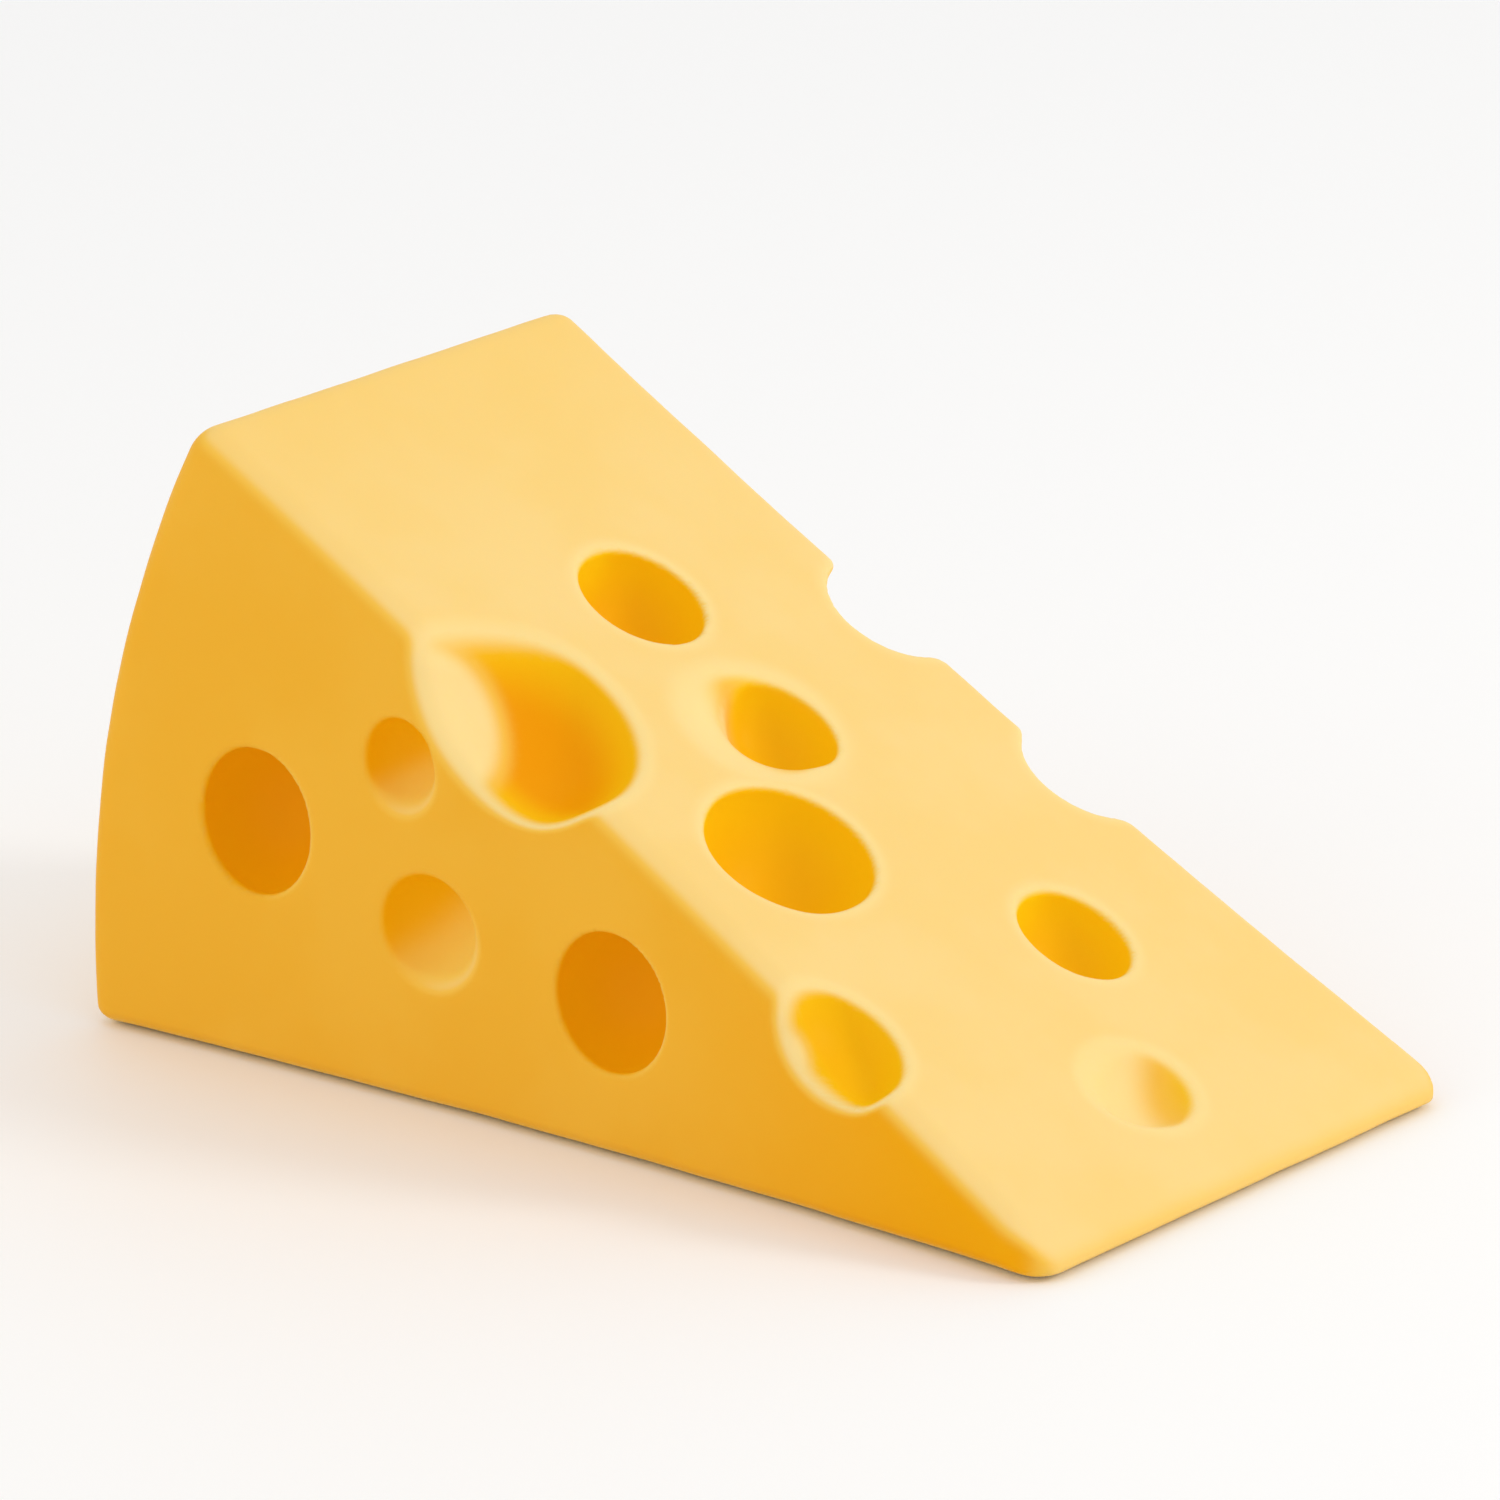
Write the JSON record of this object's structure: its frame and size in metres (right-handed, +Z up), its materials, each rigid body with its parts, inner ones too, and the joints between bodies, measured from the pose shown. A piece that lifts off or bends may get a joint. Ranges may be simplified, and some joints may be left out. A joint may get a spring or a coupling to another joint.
{
  "type": "cheese wedge",
  "caption": "Wedge of large-eyed cheese lying on a cut face, its upper cut face sloping from a curved rind end down to a low blunt tip.",
  "frame": {"origin": "on the surface it lies on, under the middle of the wedge's box", "axes": "+X to the tip along the wedge's length, +Y to the back, one of the wheel's flat sides, +Z up"},
  "size_m": [0.16, 0.0882, 0.0841],
  "materials": {
    "cheese_paste": "waxy pale yellow cheese paste with a soft sheen, deeper orange-yellow inside the eyes"
  },
  "bodies": {
    "root": {"cheese_wedge": "cheese_paste"}
  },
  "joints": []
}
